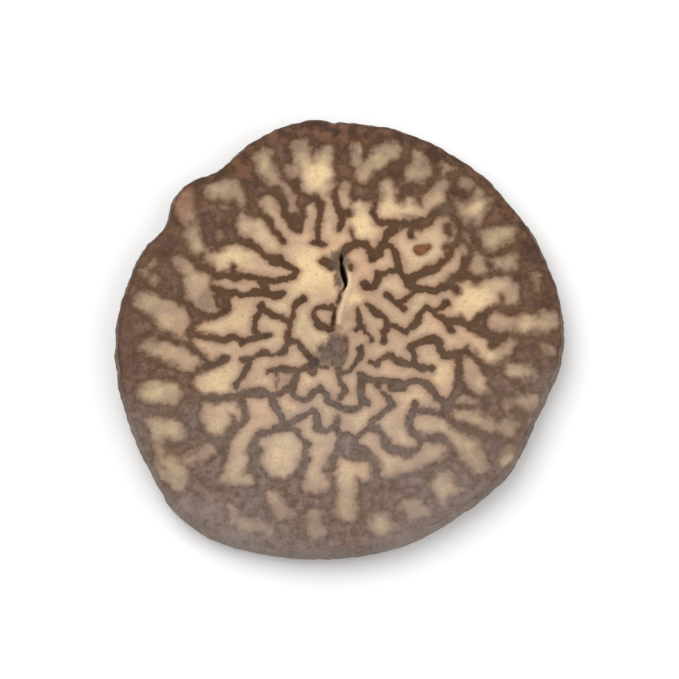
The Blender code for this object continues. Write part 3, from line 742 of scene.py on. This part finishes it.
class Nodes:
    """Short calls that add a material's nodes and link them. Sizes are in millimetres."""

    def __init__(self, name):
        self.material = bpy.data.materials.new(name)
        self.material.use_nodes = True
        self.tree = self.material.node_tree
        self.shader = self.tree.nodes["Principled BSDF"]

    def put(self, socket, value):
        if isinstance(value, bpy.types.NodeSocket):
            self.tree.links.new(value, socket)
        else:
            socket.default_value = value

    def attribute(self, name):
        node = self.tree.nodes.new("ShaderNodeAttribute")
        node.attribute_name = name
        return node.outputs["Fac"]

    def place(self):
        return self.tree.nodes.new("ShaderNodeTexCoord").outputs["Object"]

    def noise(self, size_mm, detail=3.0, roughness=0.55, place=None, distortion=0.0):
        node = self.tree.nodes.new("ShaderNodeTexNoise")
        self.put(node.inputs["Vector"], place or self.place())
        node.inputs["Scale"].default_value = 1.0 / (size_mm * MM)
        node.inputs["Detail"].default_value = detail
        node.inputs["Roughness"].default_value = roughness
        node.inputs["Distortion"].default_value = distortion
        return node.outputs["Fac"]

    def vector(self, operation, a, b=None):
        node = self.tree.nodes.new("ShaderNodeVectorMath")
        node.operation = operation
        self.put(node.inputs[0], a)
        if b is not None:
            self.put(node.inputs[1], b)
        return node.outputs["Value" if operation == "LENGTH" else "Vector"]

    def fibres(self, width_mm, length_mm, detail=3.0):
        """Noise drawn out along the radius.

        It is read at the direction from the middle times 0.7 of the plain radius, where the fibres are as
        wide as said, and, for its height, at the reach times width over length.
        """
        flat = self.vector("MULTIPLY", self.place(), (1.0, 1.0, 0.0))
        true_radius = 0.7 * PLAIN_RADIUS * MM
        outward = self.vector("SCALE", self.vector("NORMALIZE", flat))
        outward.node.inputs["Scale"].default_value = true_radius
        combine = self.tree.nodes.new("ShaderNodeCombineXYZ")
        reach = self.math("MULTIPLY", self.vector("LENGTH", flat), width_mm / length_mm)
        self.put(combine.inputs["Z"], reach)
        drawn_out = self.vector("ADD", outward, combine.outputs["Vector"])
        return self.noise(width_mm, detail, 0.6, drawn_out, 0.8)

    def math(self, operation, a, b=0.0, c=0.0):
        node = self.tree.nodes.new("ShaderNodeMath")
        node.operation = operation
        for socket, value in zip(node.inputs, (a, b, c)):
            self.put(socket, value)
        return node.outputs[0]

    def rise(self, value, start, end, low=0.0, high=1.0):
        node = self.tree.nodes.new("ShaderNodeMapRange")
        node.interpolation_type = "SMOOTHSTEP"
        for name, number in (("From Min", start), ("From Max", end), ("To Min", low), ("To Max", high)):
            self.put(node.inputs[name], number)
        self.put(node.inputs["Value"], value)
        return node.outputs["Result"]

    def swing(self, noise, width):
        """The noise about zero, in all this wide."""
        return self.math("MULTIPLY_ADD", noise, width, -width / 2.0)

    def mix(self, share, under, over):
        """The colour under turned to the one over by the share. Each is a link or three screen values."""
        node = self.tree.nodes.new("ShaderNodeMix")
        node.data_type = "RGBA"
        self.put(node.inputs["Factor"], share)
        for socket, colour in ((node.inputs[6], under), (node.inputs[7], over)):
            self.put(socket, srgb(*colour) if isinstance(colour, tuple) else colour)
        return node.outputs[2]

    def tint(self, under, over, field, start, end, most=1.0):
        """The same, as the field goes from start to end, and by at most so much."""
        return self.mix(self.rise(field, start, end, 0.0, most), under, over)

    def bump(self, height, distance_mm, strength=1.0, under=None):
        node = self.tree.nodes.new("ShaderNodeBump")
        node.inputs["Strength"].default_value = strength
        node.inputs["Distance"].default_value = distance_mm * MM
        self.put(node.inputs["Height"], height)
        if under is not None:
            self.put(node.inputs["Normal"], under)
        return node.outputs["Normal"]


class NutNodes(Nodes):
    """The nut's material, with the noises and fields that several of its parts read."""

    def __init__(self):
        super().__init__("cut_betel_nut")
        self.outward = self.attribute("outward")
        self.near_skin = self.rise(self.outward, 0.52, 0.88)
        self.full = self.attribute("fullness")
        self.clouds = self.noise(3.6, 2.0)
        self.patches = self.noise(1.5, 3.0)
        self.lumps = self.noise(0.9, 3.0, 0.6)
        self.mottles = self.noise(0.62, 4.0, 0.7)
        self.flecks = self.noise(0.4, 4.0, 0.65)
        self.specks = self.noise(0.2, 3.0, 0.65)
        self.grain = self.noise(0.085, 2.0, 0.6)
        self.wisps = self.fibres(0.34, 1.3, 3.0)


def ragged_border(n):
    """The distance to the folds' border, with flecks all over and wisps and lumps towards the skin."""
    ragged = n.math("ADD", n.swing(n.flecks, 0.26), n.swing(n.specks, 0.14))
    feathered = n.math("MULTIPLY", n.math("ADD", n.wisps, -0.5), n.rise(n.outward, 0.45, 0.85, 0.0, 0.35))
    lumpy = n.math("MULTIPLY", n.math("ADD", n.lumps, -0.5), n.rise(n.outward, 0.45, 0.85, 0.25, 1.0))
    return n.math("ADD", n.math("ADD", n.attribute("flesh"), ragged), n.math("ADD", feathered, lumpy))


def flesh_colour(n, border):
    """Cream in patches, browner towards the skin and round each lobe, with fibres, flecks and specks."""
    tone = n.attribute("tone")
    pale = n.tint((185, 155, 127), (204, 175, 140), n.patches, 0.38, 0.62)
    pale = n.tint(pale, (212, 166, 128), n.clouds, 0.52, 0.68, 0.45)
    pale = n.tint(pale, (202, 186, 140), n.clouds, 0.46, 0.34, 0.5)
    pale = n.tint(pale, (178, 150, 128), n.full, 0.86, 0.55, 0.4)
    far_out = n.tint((158, 136, 114), (184, 162, 126), n.patches, 0.38, 0.62)
    pale = n.mix(n.math("MULTIPLY", n.rise(n.outward, 0.55, 0.9), n.rise(tone, 1.2, 0.0)), pale, far_out)
    pale = n.tint(pale, (231, 203, 154), tone, 0.05, 1.0, 0.9)
    pale = n.tint(pale, (132, 108, 91), tone, -0.1, -1.2, 0.9)
    streaked = n.math("MULTIPLY", n.rise(n.wisps, 0.46, 0.66), n.rise(n.near_skin, 0.0, 1.0, 0.15, 0.3))
    pale = n.mix(streaked, pale, (150, 122, 98))
    rim_width = n.rise(n.near_skin, 0.0, 1.0, 0.36, 0.66)
    rim_of_lobe = n.math("MULTIPLY", n.rise(border, rim_width, 0.0), 0.85)
    pale = n.mix(rim_of_lobe, pale, n.mix(n.near_skin, (158, 124, 99), (134, 106, 88)))
    pale = n.tint(pale, (172, 134, 102), n.flecks, 0.56, 0.7, 0.4)
    pale = n.tint(pale, (170, 132, 102), n.specks, 0.55, 0.7, 0.35)
    most_specks = n.rise(n.near_skin, 0.0, 1.0, 0.2, 0.08)
    pale = n.mix(n.math("MULTIPLY", n.rise(n.specks, 0.45, 0.32), most_specks), pale, (236, 212, 176))
    return n.tint(pale, (146, 114, 88), n.grain, 0.55, 0.7, 0.3)


def fold_colour(n, border):
    """Brown, mottled where it is broad, shaded at the far rim, darkest by the flesh and in the knots."""
    brown = n.tint((98, 72, 52), (112, 84, 64), n.patches, 0.38, 0.62)
    brown = n.tint(brown, (84, 60, 43), n.flecks, 0.45, 0.66, 0.5)
    mottled = n.tint((82, 59, 48), (128, 100, 87), n.mottles, 0.36, 0.64)
    mottled = n.tint(mottled, (118, 84, 70), n.clouds, 0.48, 0.62, 0.35)
    mottled = n.tint(mottled, (106, 92, 80), n.clouds, 0.44, 0.34, 0.35)
    at_rim = n.mix(n.mottles, (58, 38, 28), (116, 80, 62))
    mottled = n.tint(mottled, at_rim, n.outward, 0.86, 0.97, 0.5)
    brown = n.tint(brown, mottled, n.full, 0.42, 0.16, 0.9)
    brown = n.tint(brown, (62, 44, 34), n.grain, 0.55, 0.7, 0.4)
    shaded = n.tint((54, 34, 22), (118, 82, 59), n.noise(1.15, 4.0, 0.65), 0.42, 0.6)
    brown = n.tint(brown, shaded, n.attribute("shade"), 0.0, 1.0, 0.65)
    by_the_flesh = n.mix(n.patches, (69, 46, 28), (92, 66, 42))
    brown = n.tint(brown, by_the_flesh, border, -0.46, -0.12, 0.85)
    dark_knot = n.rise(n.attribute("knot"), 0.3, 1.0, 0.0, 0.55)
    return n.mix(n.math("MULTIPLY", dark_knot, n.rise(n.outward, 0.7, 0.55)), brown, (56, 38, 27))


def with_marks(n, cut):
    """The cut with rust, tan knob, dark edge, smudges, painted shade by the crack and inside it, pore and
    painted lip highlight.
    """
    rusty = n.tint((92, 52, 26), (132, 84, 48), n.flecks, 0.35, 0.65)
    cut = n.tint(cut, rusty, n.attribute("stain"), 0.1, 1.3, 0.97)
    tan = n.mix(n.flecks, (124, 88, 70), (170, 134, 108))
    cut = n.tint(cut, tan, n.attribute("tan"), 0.1, 1.0, 0.8)
    edge_line = n.math("MULTIPLY", n.rise(n.outward, 0.978, 0.993), n.rise(n.lumps, 0.36, 0.6, 0.15, 0.85))
    cut = n.mix(edge_line, cut, (74, 54, 42))
    blotted = n.math("ADD", n.swing(n.flecks, 0.8), n.swing(n.specks, 0.4))
    # Purple grey, and olive brown, which beside the crack is painted shade.
    for name, start, end, lighter, darker in (
        ("purple", 0.15, 0.95, (110, 83, 84), (82, 59, 57)),
        ("olive_and_crack_shade", 0.1, 1.15, (100, 84, 66), (72, 59, 47)),
    ):
        smudge_and_shade = n.tint(lighter, darker, n.flecks, 0.4, 0.6)
        cut = n.tint(cut, smudge_and_shade, n.math("ADD", n.attribute(name), blotted), start, end, 0.85)
    cut = n.tint(cut, (56, 42, 33), n.attribute("pore"), 0.2, 1.0, 0.85)
    # painted highlight: the flesh along the crack's right lip is turned paler
    cut = n.tint(cut, (230, 204, 168), n.attribute("painted_lip_highlight"), 0.0, 1.0, 0.55)
    # The crack: its dry inside is dark, and it is painted darker still as shade where the split is deep.
    return n.mix(n.attribute("crack"), cut, (44, 33, 22))


def skin_furrows(n):
    """A net of thin furrows, drawn out up the skin: 1 where the noise crosses its middle value."""
    upright = n.vector("MULTIPLY", n.place(), (1.0, 1.0, 0.4))
    net = n.math("ABSOLUTE", n.math("ADD", n.noise(1.3, 3.0, 0.55, upright, 0.7), -0.5))
    return n.rise(net, 0.07, 0.0)


def skin_colour(n, furrows):
    """Grey brown in flecks and patches, darker in the furrows, with dark and pale specks."""
    colour = n.mix(n.flecks, (98, 82, 69), (136, 118, 102))
    colour = n.tint(colour, (112, 88, 70), n.patches, 0.42, 0.6, 0.6)
    colour = n.tint(colour, (92, 76, 65), n.clouds, 0.46, 0.58, 0.5)
    colour = n.mix(n.math("MULTIPLY", furrows, 0.4), colour, (80, 63, 52))
    colour = n.tint(colour, (84, 68, 57), n.specks, 0.54, 0.68, 0.5)
    colour = n.tint(colour, (156, 142, 128), n.specks, 0.45, 0.34, 0.4)
    return n.tint(colour, (76, 62, 52), n.grain, 0.5, 0.7, 0.5)


def greyed_near_side(n, colour):
    """The colour turned lighter and greyer towards the near side, unevenly in mottles and specks."""
    amount = n.attribute("near_greying")
    scattered = n.math("ADD", n.swing(n.mottles, 0.9), n.swing(n.specks, 0.6))
    uneven_amount = n.math("MULTIPLY", scattered, n.rise(amount, 0.0, 0.5))
    return n.tint(colour, (150, 139, 133), n.math("ADD", amount, uneven_amount), 0.0, 1.2, 0.7)


def relief(n, furrows, on_skin):
    """Fine bumps laid one over the other: the skin's furrows, then flecks, fibres and specks all over."""
    furrow_height = n.math("MULTIPLY", n.math("MULTIPLY", furrows, on_skin), -1.0)
    normal = None
    for height, depth, strength in (
        (furrow_height, 0.1, 0.6),
        (n.flecks, 0.12, 0.7),
        (n.wisps, 0.1, 0.4),
        (n.specks, 0.06, 0.7),
    ):
        normal = n.bump(height, depth, strength, normal)
    return normal


def nut_material():
    """Cream flesh, brown folds and the skin, dry and dull."""
    n = NutNodes()
    border = ragged_border(n)
    half_blur = n.rise(n.outward, 0.4, 0.9, 0.07, 0.28)
    is_flesh = n.rise(border, n.math("MULTIPLY", half_blur, -1.0), half_blur)
    cut = with_marks(n, n.mix(is_flesh, fold_colour(n, border), flesh_colour(n, border)))
    on_skin = n.rise(n.attribute("skin"), 0.25, 0.75)
    furrows = skin_furrows(n)
    bare = n.mix(on_skin, cut, skin_colour(n, furrows))
    n.put(n.shader.inputs["Base Color"], greyed_near_side(n, bare))
    n.put(n.shader.inputs["Roughness"], n.rise(is_flesh, 0.0, 1.0, 0.85, 0.7))
    n.shader.inputs["Metallic"].default_value = 0.0
    n.shader.inputs["Specular IOR Level"].default_value = 0.25
    n.put(n.shader.inputs["Normal"], relief(n, furrows, on_skin))
    return n.material


mesh.materials.append(nut_material())
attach(slice_piece, "root")
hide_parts("betel_nut_slice")


# The floor. A plain white card of smooth, dull paper that the slice lies on, cut square and far wider than
# the slice, so that its own edges are never seen.
FLOOR_HALF = 0.6
floor_mesh = bpy.data.meshes.new("floor")
floor_corners = [(x * FLOOR_HALF, y * FLOOR_HALF, 0.0) for x, y in ((-1, -1), (1, -1), (1, 1), (-1, 1))]
floor_mesh.from_pydata(floor_corners, [], [(0, 1, 2, 3)])
floor = bpy.data.objects.new("floor", floor_mesh)
bpy.context.scene.collection.objects.link(floor)
card = Nodes("white_card")
card.shader.inputs["Base Color"].default_value = srgb(246, 246, 246)
card.shader.inputs["Roughness"].default_value = 0.9
floor_mesh.materials.append(card.material)


# The light. Two square studio lamps with cloth screens: a broad one high at the far left, and a weaker one
# high at the near right that opens the shadows. White walls all round add an even light of their own.
def soft_lamp(name, place, size, power):
    """A square lamp at a place, turned to face the slice."""
    lamp_data = bpy.data.lights.new(name, "AREA")
    lamp_data.size = size
    lamp_data.energy = power
    lamp = bpy.data.objects.new(name, lamp_data)
    bpy.context.scene.collection.objects.link(lamp)
    x, y, z = place
    lamp.location = place
    lamp.rotation_euler = (math.atan2(math.hypot(x, y), z), 0.0, math.atan2(x, -y))
    return lamp


soft_lamp("key_lamp", (-0.2, 0.12, 0.45), 0.5, 1.7)
soft_lamp("fill_lamp", (0.35, -0.2, 0.4), 0.5, 0.9)
world = bpy.data.worlds.new("studio")
world.use_nodes = True
world.node_tree.nodes["Background"].inputs["Color"].default_value = (1.0, 1.0, 1.0, 1.0)
world.node_tree.nodes["Background"].inputs["Strength"].default_value = 0.62
bpy.context.scene.world = world
bpy.context.scene.view_settings.view_transform = "Standard"


# The camera. It looks down on the slice from in front, as steeply as the photograph does, through a long
# lens from well away, so that the near half looks no larger than the far one.
CAMERA_ELEVATION = 71.0
CAMERA_DISTANCE = 0.42
CAMERA_LENS = 354.0
camera_data = bpy.data.cameras.new("camera")
camera_data.lens = CAMERA_LENS
camera_data.clip_start = 0.01
camera = bpy.data.objects.new("camera", camera_data)
bpy.context.scene.collection.objects.link(camera)
elevation = math.radians(CAMERA_ELEVATION)
aim_z = THICKNESS * MM / 2.0
camera_height = aim_z + CAMERA_DISTANCE * math.sin(elevation)
camera.location = (0.0, -CAMERA_DISTANCE * math.cos(elevation), camera_height)
camera.rotation_euler = (math.radians(90.0) - elevation, 0.0, 0.0)
bpy.context.scene.camera = camera
